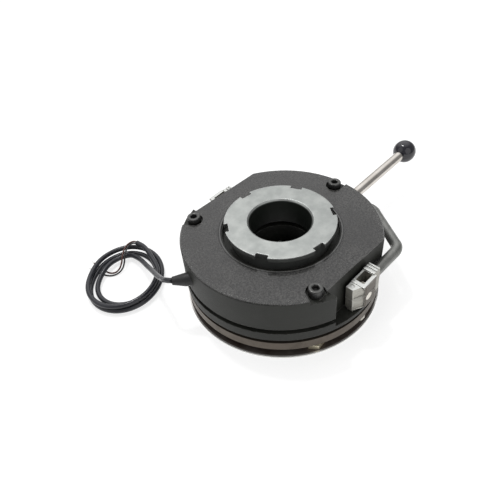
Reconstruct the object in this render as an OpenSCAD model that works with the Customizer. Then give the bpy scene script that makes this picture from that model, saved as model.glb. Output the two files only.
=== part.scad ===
// Spring applied brake with torque adjuster ring and hand release lever.
// The brake axis is +Z, the release lever points along +X, z = 0 is the mounting side.

/* [Stack] */
// Thickness of the friction plate on the mounting side
plate_t = 1.5; // [1:0.1:3]
// Thickness of the rotor over both linings
rotor_t = 9; // [8:0.5:12]
// Thickness of the armature plate
armature_t = 9; // [7:0.5:12]
// Air gap between armature plate and pole face with the brake applied
air_gap = 1; // [0.8:0.1:1.4]
// Height of the magnet housing from pole face to top face
housing_h = 49.5; // [48:0.5:56]

/* [Magnet housing] */
// Distance from the fixing screws' axes to the housing's wall
screw_edge = 10; // [9:0.5:12]
// Height of the turned register at the pole face
register_h = 3.5; // [2:0.5:5]
// Depth of the turned register at the pole face
register_in = 3.5; // [2:0.5:5]
// Height of the rim between register and seal groove
rim_h = 9; // [8:0.5:11]
// How far the rim stands proud of the wall
rim_out = 0.5; // [0.1:0.1:1]
// Height of the seal groove
groove_h = 5; // [3:0.5:7]
// Depth of the seal groove
groove_in = 4; // [2:0.5:4.5]
// Chamfer round the top edge
edge_chamfer = 1; // [0.4:0.2:2]
// Depth of the side pockets into the housing's round wall
pocket_in = 13.7; // [12:0.1:14.5]
// Web between a screw's axis and the end of a side pocket
pocket_web = 9.4; // [8.5:0.1:14]
// Height of the pocket floors above the pole face
pocket_floor_h = 7.5; // [7:0.1:7.8]
// Length of the top shelf behind a side pocket
shelf_len = 13; // [8:1:16]
// Drop of the shelf between pocket and screw
shelf_drop = 4.5; // [3:0.5:6]
// Space between the hub's spline and the housing's bore
hub_gap = 4.5; // [3:0.5:6]
// Wall between the ring's thread and the coil slot
pole_wall = 8; // [6:0.5:10]
// Width of the coil slot
slot_w = 21; // [18:0.5:24]
// Depth of the coil slot from the pole face
slot_depth = 29.5; // [27:0.5:30]
// Height of the coil winding
coil_h = 21; // [16:0.5:23]
// Resin between winding and slot walls
resin_t = 2; // [1:0.25:3]
// Space between the ring's flange and the recess's edge
recess_gap = 4.2; // [3:0.2:6]
// Depth of the recess
recess_depth = 7; // [6:0.5:8]
// Width of the step in the recess's edge
recess_step_w = 1.5; // [1:0.25:2]
// Depth of the step in the recess's edge
recess_step_h = 1.5; // [1:0.5:3]

/* [Adjuster ring] */
// How far the castellated flange stands out from the neck
flange_out = 4.3; // [4:0.1:6]
// Thickness of the flange
ring_flange_t = 5; // [4:0.5:6]
// Height of the ring's face above the housing's top
ring_rise = 10.7; // [10:0.1:12]
// How far the ring's neck reaches past the thrust pins
pin_cover = 3.5; // [3:0.5:5]
// Length of the ring over flange and neck
ring_len = 28.7; // [27:0.1:30]
// Space between the hub's spline and the ring's bore
ring_bore_gap = 2; // [1:0.5:4]
// Width of the bevels at the bore's ends
ring_bevel = 2; // [1:0.5:3]
// Number of spanner notches
notches = 6; // [4:1:8]
// Width of a spanner notch
notch_w = 11.5; // [8:0.5:13]
// Depth of a spanner notch
notch_in = 3.8; // [3:0.2:4.2]
// Turn of the first notch from the lever side
notch_turn = 23.4; // [0:0.2:60]
// Travel of the ring each way from its set place
ring_travel = 4.5; // [3:0.5:5]

/* [Springs and pins] */
// Number of pressure springs
spring_count = 6; // [6:1:8]
// Wall between the housing's bore and the springs' bores
spring_wall = 4.75; // [3:0.25:6]
// Diameter of a spring's bore
spring_bore_d = 10.5; // [10:0.1:11]
// Outer diameter of a pressure spring
spring_d = 8.8; // [8:0.1:9.2]
// Wire of a pressure spring
spring_wire_d = 1.6; // [1.2:0.1:1.8]
// Diameter of a thrust pin
pin_d = 6; // [5:0.5:7]
// Diameter of a thrust pin's head
pin_head_d = 9.6; // [9:0.1:9.8]
// Thickness of a thrust pin's head
pin_head_t = 2; // [1.5:0.5:3]
// Web that guides the thrust pins
guide_web_t = 3.5; // [3:0.5:5]

/* [Armature and rotor] */
// How much larger the armature plate's opening is than the housing's bore
armature_bore_out = 2.5; // [1:0.5:4]
// How far the friction plate stands out past the armature plate
plate_out = 1.5; // [0:0.5:3]
// How much larger the friction plate's opening is than the armature plate's
plate_bore_out = 2; // [0:0.5:4]
// Space between the linings and the hexes of the sleeve bolts
lining_gap = 0.5; // [0.5:0.25:2]
// Width of the linings
lining_w = 26; // [20:0.5:28]
// Thickness of one lining
lining_t = 2.5; // [2:0.25:3]
// Wall of the hub from its bore to the tips of the spline
hub_wall = 9.5; // [8:0.5:11]
// Depth of the spline teeth
spline_depth = 2.4; // [2:0.1:2.6]
// Number of spline teeth
spline_teeth = 24; // [18:1:30]
// Length of the hub
hub_len = 30; // [26:1:34]
// Diameter of the hub's shaft bore
shaft_d = 35; // [30:1:38]
// Width of the keyway
key_w = 10; // [8:1:12]
// Depth of the keyway in the hub
key_depth = 3.3; // [2.5:0.1:3.5]

/* [Sleeve bolts and screws] */
// Wall between the coil slot and a sleeve bolt's thread
sleeve_wall = 2; // [1.5:0.5:4]
// Number of fixing screws
bolts = 3; // [3:1:3]
// Turn of the first fixing screw from the lever side
bolt_turn = 1.6; // [0:0.2:2]
// Diameter of the fixing screws
screw_d = 8; // [7:0.5:8.5]
// Diameter of their clearance holes
screw_hole_d = 9; // [8.8:0.1:9.4]
// Diameter of a screw's head
head_d = 13; // [12:0.5:14]
// Height of a screw's head
head_h = 8; // [7:0.5:9]
// Width across flats of the socket in the head
socket_af = 6; // [5:0.5:7]
// Width of the spot face under a head
spot_d = 17; // [15:0.5:18]
// Depth of the spot face
spot_depth = 3.5; // [2:0.5:5]
// Outside diameter of a sleeve bolt's thread
sleeve_d = 12; // [11:0.1:12.2]
// Width across flats of a sleeve bolt's hex
sleeve_af = 16; // [15:0.5:17]
// Height of a sleeve bolt's hex
sleeve_hex_h = 5; // [4:0.5:6]
// Length of a sleeve bolt's thread in the housing
sleeve_hold = 16; // [12:1:20]

/* [Release yoke] */
// Distance of the cross pins in front of the axis
pivot_x = 6.5; // [6:0.1:7]
// Height of the cross pins above the pocket floors
pivot_rise = 13; // [12.6:0.1:13.4]
// Distance of the release bolts from a block's inner face
bolt_in = 6; // [5.8:0.1:6.4]
// Diameter of a release bolt
bolt_d = 5; // [4:0.5:5]
// Width across flats of a release bolt's head
bolt_head_af = 9; // [8:0.5:10]
// Height of a release bolt's head
bolt_head_h = 4; // [3:0.5:5]
// Diameter of a cross pin
trunnion_d = 8; // [7:0.5:8]
// Width across flats of a lock nut
nut_af = 8; // [7:0.5:8]
// Height of a lock nut
nut_h = 4; // [3:0.5:4]
// Wire of a release spring
release_wire_d = 1; // [0.8:0.1:1]
// Space between a yoke block and the pocket's wall
block_side_gap = 2.7; // [2:0.1:3]
// Width of the pocket frame of a block
frame_w = 13.6; // [13:0.1:14]
// Width of the near end of a block
end_w = 7.2; // [6:0.1:8]
// Length of the near end of a block
end_len = 7.4; // [6:0.1:9]
// Distance of the frame's near edge behind the cross pin
frame_back = 8.8; // [8:0.1:10]
// Length of the pocket frame
frame_len = 18.6; // [18:0.1:20]
// Height of a block
block_h = 29.4; // [27:0.1:30]
// Height of a level block above its pocket floor
block_gap = 1.9; // [1.8:0.1:3]
// Length of the pocket in a block
well_len = 13.3; // [13:0.1:14]
// Distance of that pocket's near wall behind the cross pin
well_back = 4.9; // [4.9:0.1:5.4]
// Distance of the release spring's room in a block from the cross pin, each way
spring_room = 7; // [6.8:0.1:8]
// How far a block's slanted side reaches past the frame's near edge
slant_past = 4.8; // [2:0.2:8]
// How far the frame's rim stands over the block's side
rim_over = 0.4; // [0.2:0.1:1]
// Thickness of the frame's rim
rim_t = 2; // [1.5:0.5:4]
// Width of the pocket in a block
well_w = 8.6; // [8.4:0.1:8.8]
// Length of the ribbed lug
lug_len = 8.1; // [7:0.1:10]
// Width of the ribbed lug
lug_w = 11.2; // [9:0.1:12]
// Diameter of the yoke's rod
rod_d = 10.5; // [9:0.5:11]
// Space between the yoke's rod and the pocket's wall
leg_gap = 0.45; // [0.4:0.05:1]
// Space between the yoke's arms and the rim
arm_gap = 6; // [3:0.5:8]
// Space between the crossbar and the rim
cross_gap = 10.2; // [8:0.2:12]
// Lean of the crossbar's arms from the Y axis
arm_lean = 37.6; // [30:0.2:42]
// Drop of the crossbar and the lever below the legs
lever_drop = 13; // [5:0.5:16]
// Tilt of the yoke on its cross pins with the brake applied
yoke_tilt = 3.5; // [3:0.1:4]
// Bend radius of the rod
bend_r = 14; // [12:1:18]
// Diameter of the lever boss
boss_d = 18; // [16:0.5:20]
// Length of the lever boss
boss_len = 14; // [12:0.5:18]

/* [Lever] */
// Diameter of the lever rod
lever_d = 11.3; // [9:0.1:13]
// Length of the lever rod between boss and ball
lever_len = 89.1; // [60:0.1:120]
// Diameter of the ball knob
ball_d = 26; // [24:1:32]
// Diameter of the lever's threaded ends
lever_thread_d = 8; // [6:0.5:8]
// Length of the lever's threaded ends
lever_thread_len = 13; // [10:0.5:14]

/* [Cable] */
// Diameter of the cable
cable_d = 5.2; // [4:0.1:6]
// Diameter of a core
core_d = 1.8; // [1.5:0.1:2.2]
// Turn of the cable gland from the lever side
gland_turn = 161.5; // [150:0.5:175]
// Lean of the gland towards the cable
gland_lean = 22.5; // [10:0.5:30]
// Height of the gland's axis above the pole face
gland_h = 31.5; // [30:0.5:33]
// Diameter of the gland at the housing
gland_root_d = 12.5; // [11:0.5:14]
// Diameter of the gland at the cable
gland_tip_d = 7.6; // [7:0.1:9]
// Length of the gland
gland_len = 16; // [14:0.5:18]
// Mean radius of the cable coil
coil_mean_r = 37.5; // [36:0.5:39]
// Width of the coil's bundle
bundle_w = 18; // [16:0.5:20]
// Height of the coil's bundle
bundle_h = 12; // [10:0.5:13]

/* [Hidden] */
$fn = 96;

// Overrun of every cut
cut = 1;
// Gap that keeps a spring's wire off the faces it bears on
soft_gap = 0.3;
// Radial clearance of a running fit
fit_gap = 0.05;
// Radial clearance of a sliding bush or a loose hole
slide_gap = 0.1;
// Space left below the ring and above the pin heads at the end of the travel
end_gap = 1;
// How far the resin and the rotor's boss stay back from the faces beside them
face_relief = 0.3;
// Turns of a spring, and the steps and sides it is drawn with
spring_turns = 4;
spring_steps = 9;
spring_sides = 5;
// Clearance of a bolt or a sleeve in the armature plate
pass_gap = 0.5;

// Radii of hub, springs and adjuster ring
spline_r = shaft_d / 2 + hub_wall;
housing_bore_r = spline_r + hub_gap;
spring_circle_r = housing_bore_r + spring_wall + spring_bore_d / 2;
neck_r = spring_circle_r + pin_d / 2 + pin_cover;
ring_r = neck_r + flange_out;
ring_bore_r = spline_r + ring_bore_gap;
recess_r = ring_r + recess_gap;

// Radii of coil slot, fixing screws and housing
slot_in_r = neck_r + pole_wall;
slot_out_r = slot_in_r + slot_w;
bolt_r = slot_out_r + sleeve_wall + sleeve_d / 2;
housing_r = bolt_r + screw_edge;
rim_r = housing_r + rim_out;

// Radii of the plates and the rotor
armature_r = housing_r;
armature_bore_r = housing_bore_r + armature_bore_out;
plate_r = armature_r + plate_out;
plate_bore_r = armature_bore_r + plate_bore_out;
lining_r = bolt_r - sleeve_af / 2 / cos(30) - lining_gap;
lining_in_r = lining_r - lining_w;

// Places of the side pockets
flat_y = housing_r - pocket_in;
pocket_back = -bolt_r * cos(360 / bolts - bolt_turn) - pocket_web;
shelf_back = pocket_back + shelf_len;

// Levels of the stack
armature_z = plate_t + rotor_t;
armature_top = armature_z + armature_t;
pole_z = armature_top + air_gap;
top_z = pole_z + housing_h;
rim_z = pole_z + register_h;
groove_z = rim_z + rim_h;
wall_z = groove_z + groove_h;
pocket_z = pole_z + pocket_floor_h;
slot_z = pole_z + slot_depth;

// Levels of the adjuster ring, its thread and the pins under it
ring_top = top_z + ring_rise;
flange_z = ring_top - ring_flange_t;
ring_z = ring_top - ring_len;
thread_r = neck_r + fit_gap;
thread_z = ring_z - ring_travel - end_gap;
bore_top = thread_z - guide_web_t;
pin_head_z = bore_top - ring_travel - end_gap - pin_head_t;
recess_z = top_z - recess_depth;

// Rotor levels
carrier_z = plate_t + lining_t;
carrier_t = rotor_t - 2 * lining_t;
carrier_boss_r = lining_in_r - lining_t;
carrier_rim_r = lining_r - lining_t;

// Screw levels
seat_z = top_z - spot_depth;
sleeve_top = pole_z + sleeve_hold;
sleeve_end_gap = 1;
sleeve_turn = 5;
socket_depth_share = 0.55;

// Yoke places, with the yoke level
block_in_y = flat_y + block_side_gap;
bolt_y = block_in_y + bolt_in;
leg_y = flat_y + leg_gap + rod_d / 2;
pivot_z = pocket_z + pivot_rise;
block_z = pocket_z + block_gap;
block_top = block_z + block_h;
leg_z = block_z + block_h / 2;
lever_z = leg_z - lever_drop;
frame_x = pivot_x - frame_back;
end_x = frame_x - end_len;
lug_x = frame_x + frame_len;
well_x = pivot_x - well_back;
body_w = frame_w - rim_over;
slant_len = end_len + slant_past;
slant = atan2(body_w - end_w, slant_len);
bolt_top = pivot_z + trunnion_d / 2 + nut_h + bolt_d / 2;
bend_swell = 0.2;
bend_lap = 0.5;
lug_rise = 1.2;
panel_depth = 0.8;
panel_in = 1.6;
rib_depth = 0.8;
flash_out = 0.25;
flash_h = 0.5;
end_drop = 0.6;
inner_chamfer = 4;
eject_mark_share = 0.65;

// The rod's corners, the lengths of its arms and the turns of its bends
cross_x = rim_r + cross_gap + rod_d / 2;
corner_x = (rim_r + arm_gap + rod_d / 2 - leg_y * sin(arm_lean)) / cos(arm_lean);
arm_dx = cross_x - corner_x;
arm_dy = arm_dx / tan(arm_lean);
arm_span = norm([arm_dx, arm_dy, lever_drop]);
arm_y = leg_y - arm_dy;
outer_turn = acos(arm_dx / arm_span);
outer_roll = atan2(lever_drop, arm_dy);
middle_turn = acos(arm_dy / arm_span);
middle_roll = atan2(lever_drop, arm_dx);
corner_in = bend_r * tan(outer_turn / 2);
middle_in = bend_r * tan(middle_turn / 2);
arm_len = arm_span - corner_in - middle_in;
boss_x = cross_x - boss_d / 2 + cut;
boss_end = boss_x + boss_len;
ball_r = ball_d / 2;
ball_flat_share = 0.9;
ball_flat_x = boss_end + lever_len;
ball_x = ball_flat_x + ball_r * ball_flat_share;

// Cable places
gland_z = pole_z + gland_h;
gland_dir = gland_turn - gland_lean;
gland_seat = 4;
gland_root = [housing_r * cos(gland_turn), housing_r * sin(gland_turn), gland_z];
cable_r = cable_d / 2;
core_r = core_d / 2;
lead_sides = 10;
core_sides = 8;
// Centre of the cable coil on the ground
coil_centre = [-110, 125, 0];
// Route of the cable from the gland's mouth to the coil
lead_route = [[-102, 41, 52], [-104, 46, 50.5], [-104, 52, 47], [-101.5, 60, 40.5], [-98, 74, 33],
    [-94.5, 86, 27], [-91, 98.5, 21], [-88.5, 109, 17], [-86, 119, 13], [-83.5, 131, 8.5], [-84, 140, 6]];
// Route of the brown core from the cable's cut end
brown_route = [[-69.9, 143.5, 11.5], [-70.4, 147, 12], [-70.9, 150, 12.6], [-72.2, 153, 13.1],
    [-74.6, 154.8, 13.4], [-78, 155.3, 13.4], [-82, 154.6, 13.4], [-86, 152.5, 13.4], [-91, 149, 13],
    [-95.5, 145.5, 10.5], [-99.5, 142.5, 7], [-104, 140.5, 4], [-109, 140.5, 2], [-113, 143.5, 1.2],
    [-115.2, 148.5, 1.1], [-116, 156, 1.1], [-117, 166, 1.1], [-117, 177, 1.1]];
// Route of the black core from the cable's cut end
black_route = [[-71.9, 143.3, 11.5], [-72.3, 146.5, 12], [-73, 149.2, 12.6], [-74.4, 151.4, 13.1],
    [-77, 152.7, 13.4], [-80.5, 152.4, 13.4], [-84.8, 150.3, 13.4], [-89.3, 147, 13],
    [-93.6, 143.6, 10.2], [-97.6, 140.3, 6.8], [-102.3, 138, 3.8], [-108, 137.6, 1.8],
    [-114, 139.8, 1.1], [-118.3, 144.5, 1.1], [-121, 151, 1.1], [-123, 160, 1.1], [-125, 170, 1.1]];

function unit(v) = v / norm(v);
function span(p, i) = p[min(i + 1, len(p) - 1)] - p[max(i - 1, 0)];

// One ring of points round a path's point, square to the path
function ring_at(p, i, r, n) =
    let (t = unit(span(p, i)), s = unit(cross(t, [0, 0, 1])), u = cross(s, t))
    [for (j = [0 : n - 1]) p[i] + r * (cos(360 * j / n) * s + sin(360 * j / n) * u)];

// A round tube swept along the points of a path, closed at both ends
module swept(path, r, n) {
    last = (len(path) - 1) * n;
    skin = [for (i = [0 : len(path) - 2], j = [0 : n - 1])
        let (a = i * n + j, b = i * n + (j + 1) % n)
        each [[a, b, b + n], [a, b + n, a + n]]];
    ends = [[for (j = [n - 1 : -1 : 0]) j], [for (j = [0 : n - 1]) last + j]];
    polyhedron(points = [for (i = [0 : len(path) - 1]) each ring_at(path, i, r, n)],
        faces = concat(ends, skin), convexity = 8);
}

// A compression spring on the Z axis from height lo to height hi
module coil_spring(outer_d, wire_d, lo, hi) {
    r = (outer_d - wire_d) / 2;
    h = hi - lo - wire_d;
    n = spring_turns * spring_steps;
    swept([for (i = [0 : n])
        let (a = 360 * i / spring_steps)
        [r * cos(a), r * sin(a), lo + wire_d / 2 + h * i / n]],
        wire_d / 2, spring_sides);
}

// A hexagonal prism of the given width across flats
module hex(af, h) {
    cylinder(r = af / 2 / cos(30), h = h, $fn = 6);
}

// Places its children at every fixing screw
module at_bolts() {
    for (i = [0 : bolts - 1])
        rotate([0, 0, bolt_turn + 360 * i / bolts])
            translate([bolt_r, 0, 0])
                children();
}

// Places its children at every pressure spring
module at_springs() {
    for (i = [0 : spring_count - 1])
        rotate([0, 0, 360 * (i + 1 / 2) / spring_count])
            translate([spring_circle_r, 0, 0])
                children();
}

// Places its children on both sides of the lever's plane
module both_sides() {
    children();
    mirror([0, 1, 0])
        children();
}

// A straight rod along X
module rod_x(d, len) {
    rotate([0, 90, 0])
        cylinder(d = d, h = len);
}

// Outline of a spline, grown by the given play
module spline_outline(play) {
    tip = spline_r + play;
    root = spline_r - spline_depth + play;
    pitch = 360 / spline_teeth;
    tip_share = 0.17;
    root_share = 0.3;
    grow = play / spline_r * 180 / PI;
    polygon([for (i = [0 : spline_teeth - 1], k = [[root, -root_share], [tip, -tip_share],
        [tip, tip_share], [root, root_share]])
        let (a = pitch * (i + k[1]) + grow * sign(k[1])) [k[0] * cos(a), k[0] * sin(a)]]);
}

module housing_body() {
    rotate_extrude()
        polygon([[housing_bore_r, pole_z], [housing_r - register_in, pole_z],
            [housing_r - register_in, rim_z], [rim_r, rim_z], [rim_r, groove_z],
            [housing_r - groove_in, groove_z], [housing_r - groove_in, wall_z],
            [housing_r, wall_z], [housing_r, top_z - edge_chamfer],
            [housing_r - edge_chamfer, top_z], [recess_r, top_z],
            [recess_r, top_z - recess_step_h], [recess_r - recess_step_w, top_z - recess_step_h],
            [recess_r - recess_step_w, recess_z], [thread_r, recess_z], [thread_r, thread_z],
            [housing_bore_r, thread_z]]);
}

module coil_slot() {
    rotate_extrude()
        translate([slot_in_r, pole_z - cut])
            square([slot_out_r - slot_in_r, slot_depth + cut]);
}

// Side pocket for a yoke block, with the shelf behind it
module side_pocket() {
    reach = rim_r + cut;
    translate([-pocket_back, flat_y, pocket_z])
        cube([pocket_back + reach, reach - flat_y, top_z - pocket_z + cut]);
    translate([-shelf_back, flat_y, top_z - shelf_drop])
        cube([shelf_back, reach - flat_y, shelf_drop + cut]);
}

// Spot face, clearance hole and tapped hole of one sleeve bolt
module bolt_cuts() {
    translate([0, 0, seat_z])
        cylinder(d = spot_d, h = spot_depth + cut);
    translate([0, -spot_d / 2, seat_z])
        cube([spot_d, spot_d, spot_depth + cut]);
    translate([0, 0, pole_z - cut])
        cylinder(d = screw_hole_d, h = housing_h + cut);
    translate([0, 0, pole_z - cut])
        cylinder(d = sleeve_d + 2 * fit_gap, h = sleeve_hold + sleeve_end_gap + cut);
}

module spring_cuts() {
    translate([0, 0, pole_z - cut])
        cylinder(d = spring_bore_d, h = bore_top - pole_z + cut);
    translate([0, 0, pole_z])
        cylinder(d = pin_d + 2 * slide_gap, h = thread_z - pole_z + cut);
}

module magnet_housing() {
    color([0.13, 0.13, 0.13])
    difference() {
        housing_body();
        coil_slot();
        both_sides()
            side_pocket();
        at_bolts()
            bolt_cuts();
        at_springs()
            spring_cuts();
        both_sides()
            translate([pivot_x, bolt_y, pole_z - cut])
                cylinder(d = bolt_d + 2 * pass_gap, h = pocket_floor_h + 2 * cut);
        translate([0, 0, gland_z])
            rotate([0, 0, gland_turn])
                translate([slot_out_r - cut, 0, 0])
                    rod_x(cable_d, housing_r - slot_out_r + 2 * cut);
    }
}

module coil_section() {
    translate([slot_in_r + resin_t, slot_z - resin_t - coil_h])
        square([slot_out_r - slot_in_r - 2 * resin_t, coil_h]);
}

module coil_winding() {
    color([0.55, 0.27, 0.12])
    rotate_extrude()
        coil_section();
}

module coil_resin() {
    color([0.12, 0.1, 0.08])
    rotate_extrude()
        difference() {
            translate([slot_in_r, pole_z + face_relief])
                square([slot_out_r - slot_in_r, slot_depth - face_relief]);
            coil_section();
        }
}

module adjuster_ring() {
    color([0.78, 0.78, 0.78])
    difference() {
        rotate_extrude()
            polygon([[ring_bore_r, ring_z + ring_bevel], [ring_bore_r + ring_bevel, ring_z],
                [neck_r - ring_bevel / 2, ring_z], [neck_r, ring_z + ring_bevel / 2],
                [neck_r, flange_z], [ring_r, flange_z], [ring_r, ring_top],
                [ring_bore_r + ring_bevel, ring_top], [ring_bore_r, ring_top - ring_bevel]]);
        for (i = [0 : notches - 1])
            rotate([0, 0, notch_turn + 360 * i / notches])
                translate([ring_r - notch_in, -notch_w / 2, flange_z - cut])
                    cube([notch_in + cut, notch_w, ring_flange_t + 2 * cut]);
    }
}

module thrust_pins() {
    color([0.6, 0.6, 0.58])
    at_springs() {
        translate([0, 0, pin_head_z])
            cylinder(d = pin_head_d, h = pin_head_t);
        translate([0, 0, pin_head_z])
            cylinder(d = pin_d, h = ring_z - pin_head_z);
    }
}

module pressure_springs() {
    color([0.5, 0.5, 0.5])
    at_springs()
        coil_spring(spring_d, spring_wire_d, armature_top + soft_gap, pin_head_z - soft_gap);
}

module armature_plate() {
    color([0.42, 0.39, 0.36])
    difference() {
        translate([0, 0, armature_z])
            cylinder(r = armature_r, h = armature_t);
        translate([0, 0, armature_z - cut])
            cylinder(r = armature_bore_r, h = armature_t + 2 * cut);
        at_bolts()
            translate([0, 0, armature_z - cut])
                cylinder(d = sleeve_d + 2 * pass_gap, h = armature_t + 2 * cut);
        both_sides()
            translate([pivot_x, bolt_y, armature_z - cut])
                cylinder(d = bolt_d + 2 * fit_gap, h = armature_t + 2 * cut);
    }
}

module friction_plate() {
    color([0.7, 0.7, 0.7])
    difference() {
        cylinder(r = plate_r, h = plate_t);
        translate([0, 0, -cut])
            cylinder(r = plate_bore_r, h = plate_t + 2 * cut);
        at_bolts()
            translate([0, 0, -cut])
                cylinder(d = screw_hole_d, h = plate_t + 2 * cut);
    }
}

module rotor_carrier() {
    color([0.6, 0.6, 0.6])
    difference() {
        union() {
            translate([0, 0, carrier_z])
                cylinder(r = carrier_rim_r, h = carrier_t);
            translate([0, 0, plate_t + face_relief])
                cylinder(r = carrier_boss_r, h = rotor_t - 2 * face_relief);
        }
        translate([0, 0, plate_t - cut])
            linear_extrude(height = rotor_t + 2 * cut)
                spline_outline(slide_gap);
    }
}

module lining(z) {
    translate([0, 0, z])
        difference() {
            cylinder(r = lining_r, h = lining_t);
            translate([0, 0, -cut])
                cylinder(r = lining_in_r, h = lining_t + 2 * cut);
        }
}

module upper_lining() {
    color([0.3, 0.22, 0.16])
    lining(armature_z - lining_t);
}

module lower_lining() {
    color([0.3, 0.22, 0.16])
    lining(plate_t);
}

module splined_hub() {
    color([0.5, 0.5, 0.52])
    difference() {
        linear_extrude(height = hub_len)
            spline_outline(0);
        translate([0, 0, -cut])
            cylinder(d = shaft_d, h = hub_len + 2 * cut);
        translate([0, -key_w / 2, -cut])
            cube([shaft_d / 2 + key_depth, key_w, hub_len + 2 * cut]);
    }
}

module sleeve_bolts() {
    color([0.66, 0.64, 0.56])
    at_bolts()
        difference() {
            union() {
                translate([0, 0, plate_t])
                    rotate([0, 0, sleeve_turn])
                        hex(sleeve_af, sleeve_hex_h);
                translate([0, 0, plate_t])
                    cylinder(d = sleeve_d, h = sleeve_top - plate_t);
            }
            translate([0, 0, plate_t - cut])
                cylinder(d = screw_hole_d, h = sleeve_top - plate_t + 2 * cut);
        }
}

module cap_screws() {
    color([0.1, 0.1, 0.1])
    at_bolts()
        difference() {
            union() {
                translate([0, 0, seat_z])
                    cylinder(d = head_d, h = head_h);
                translate([0, 0, plate_t])
                    cylinder(d = screw_d, h = seat_z - plate_t + head_h / 2);
            }
            translate([0, 0, seat_z + head_h * (1 - socket_depth_share)])
                hex(socket_af, head_h);
        }
}

// Tilts its children, drawn with the yoke level, about the cross pins
module tilted() {
    translate([pivot_x, 0, pivot_z])
        rotate([0, -yoke_tilt, 0])
            translate([-pivot_x, 0, -pivot_z])
                children();
}

// Plan of a block, grown by the given amount round its near end
module block_plan(grow) {
    polygon([[end_x - grow, block_in_y], [end_x - grow, block_in_y + end_w + grow / 2],
        [end_x + slant_len, block_in_y + body_w + grow], [lug_x, block_in_y + body_w + grow],
        [lug_x, block_in_y]]);
}

// Places its children along the slanted side of a block
module at_slant() {
    translate([end_x, block_in_y + end_w, 0])
        rotate([0, 0, slant])
            children();
}

module block_body() {
    panel_len = slant_len / cos(slant) - 2 * panel_in;
    half_h = block_h / 2;
    difference() {
        union() {
            translate([0, 0, block_z])
                linear_extrude(height = block_h - end_drop)
                    block_plan(0);
            translate([0, 0, leg_z - flash_h / 2])
                linear_extrude(height = flash_h)
                    block_plan(flash_out);
        }
        translate([end_x - cut, block_in_y, 0])
            rotate([90, 0, 90])
                linear_extrude(height = lug_x - end_x + cut)
                    polygon([[-cut, block_z - cut], [inner_chamfer, block_z - cut],
                        [-cut, block_z + inner_chamfer]]);
        at_slant() {
            translate([panel_in, -panel_depth, block_z + panel_in])
                cube([panel_len, rod_d, half_h - 2 * panel_in]);
            translate([panel_in, -panel_depth, leg_z + panel_in])
                cube([panel_len, rod_d, half_h / 2]);
        }
        translate([end_x + end_len / 2, block_in_y + end_w / 2, block_top - end_drop - rib_depth])
            cylinder(d = end_w * eject_mark_share, h = cut);
    }
}

module block_rim() {
    translate([frame_x, block_in_y, block_top - rim_t])
        cube([frame_len, frame_w, rim_t]);
}

module block_lug() {
    low = block_z + inner_chamfer;
    high = block_top + lug_rise;
    difference() {
        translate([lug_x - cut, block_in_y, low])
            cube([lug_len + cut, lug_w, high - low]);
        for (i = [0 : 1])
            translate([lug_x + lug_len * (1 + 2 * i) / 5, block_in_y - cut, high - rib_depth])
                cube([lug_len / 5, lug_w + 2 * cut, rib_depth + cut]);
    }
}

// A bend of the rod about the Z axis, a touch thicker than the straight runs
module rod_bend(turn) {
    rotate_extrude(angle = turn)
        translate([bend_r, 0])
            circle(d = rod_d + bend_swell);
}

// Rod of one side, from the lug to the crossbar's middle
module yoke_leg() {
    $fn = 48;
    translate([lug_x, leg_y, leg_z])
        rod_x(rod_d, corner_x - corner_in + bend_lap - lug_x);
    translate([corner_x, leg_y, leg_z])
        rotate([outer_roll, 0, 0]) {
            translate([-corner_in, -bend_r, 0])
                rotate([0, 0, 90 - outer_turn])
                    rod_bend(outer_turn);
            rotate([0, 0, -outer_turn])
                translate([corner_in - bend_lap, 0, 0])
                    rod_x(rod_d, arm_len + 2 * bend_lap);
        }
    translate([cross_x, arm_y, lever_z])
        rotate([0, middle_roll, 0])
            translate([-bend_r, -middle_in, 0])
                rod_bend(middle_turn);
    translate([cross_x, 0, lever_z])
        rotate([-90, 0, 0])
            cylinder(d = rod_d, h = arm_y - middle_in + bend_lap);
}

module yoke_side() {
    difference() {
        union() {
            block_body();
            block_rim();
            block_lug();
            yoke_leg();
        }
        translate([well_x, bolt_y - well_w / 2, block_z - cut])
            cube([well_len, well_w, block_h + 2 * cut]);
        translate([pivot_x - spring_room, bolt_y - well_w / 2, block_z - cut])
            cube([2 * spring_room, well_w, pivot_z - block_z + cut]);
        translate([pivot_x, block_in_y - cut, pivot_z])
            rotate([-90, 0, 0])
                cylinder(d = trunnion_d + 2 * fit_gap, h = frame_w + 2 * cut);
    }
}

module release_yoke() {
    color([0.6, 0.6, 0.6])
    tilted()
        difference() {
            union() {
                both_sides()
                    yoke_side();
                translate([boss_x, 0, lever_z])
                    rod_x(boss_d, boss_len);
            }
            translate([boss_end - lever_thread_len, 0, lever_z])
                rod_x(lever_thread_d + 2 * fit_gap, lever_thread_len + cut);
        }
}

module trunnion_pins() {
    color([0.75, 0.75, 0.73])
    both_sides()
        difference() {
            translate([pivot_x, block_in_y + slide_gap, pivot_z])
                rotate([-90, 0, 0])
                    cylinder(d = trunnion_d, h = body_w - slide_gap);
            translate([pivot_x, bolt_y, pivot_z - trunnion_d])
                cylinder(d = bolt_d + 2 * fit_gap, h = 2 * trunnion_d);
        }
}

module release_bolts() {
    color([0.7, 0.68, 0.62])
    both_sides()
        translate([pivot_x, bolt_y, 0]) {
            translate([0, 0, armature_z - bolt_head_h])
                hex(bolt_head_af, bolt_head_h);
            translate([0, 0, armature_z - bolt_head_h])
                cylinder(d = bolt_d, h = bolt_top - armature_z + bolt_head_h);
        }
}

module lock_nuts() {
    color([0.75, 0.75, 0.72])
    both_sides()
        translate([pivot_x, bolt_y, pivot_z + trunnion_d / 2])
            difference() {
                hex(nut_af, nut_h);
                translate([0, 0, -cut])
                    cylinder(d = bolt_d + 2 * fit_gap, h = nut_h + 2 * cut);
            }
}

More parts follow.
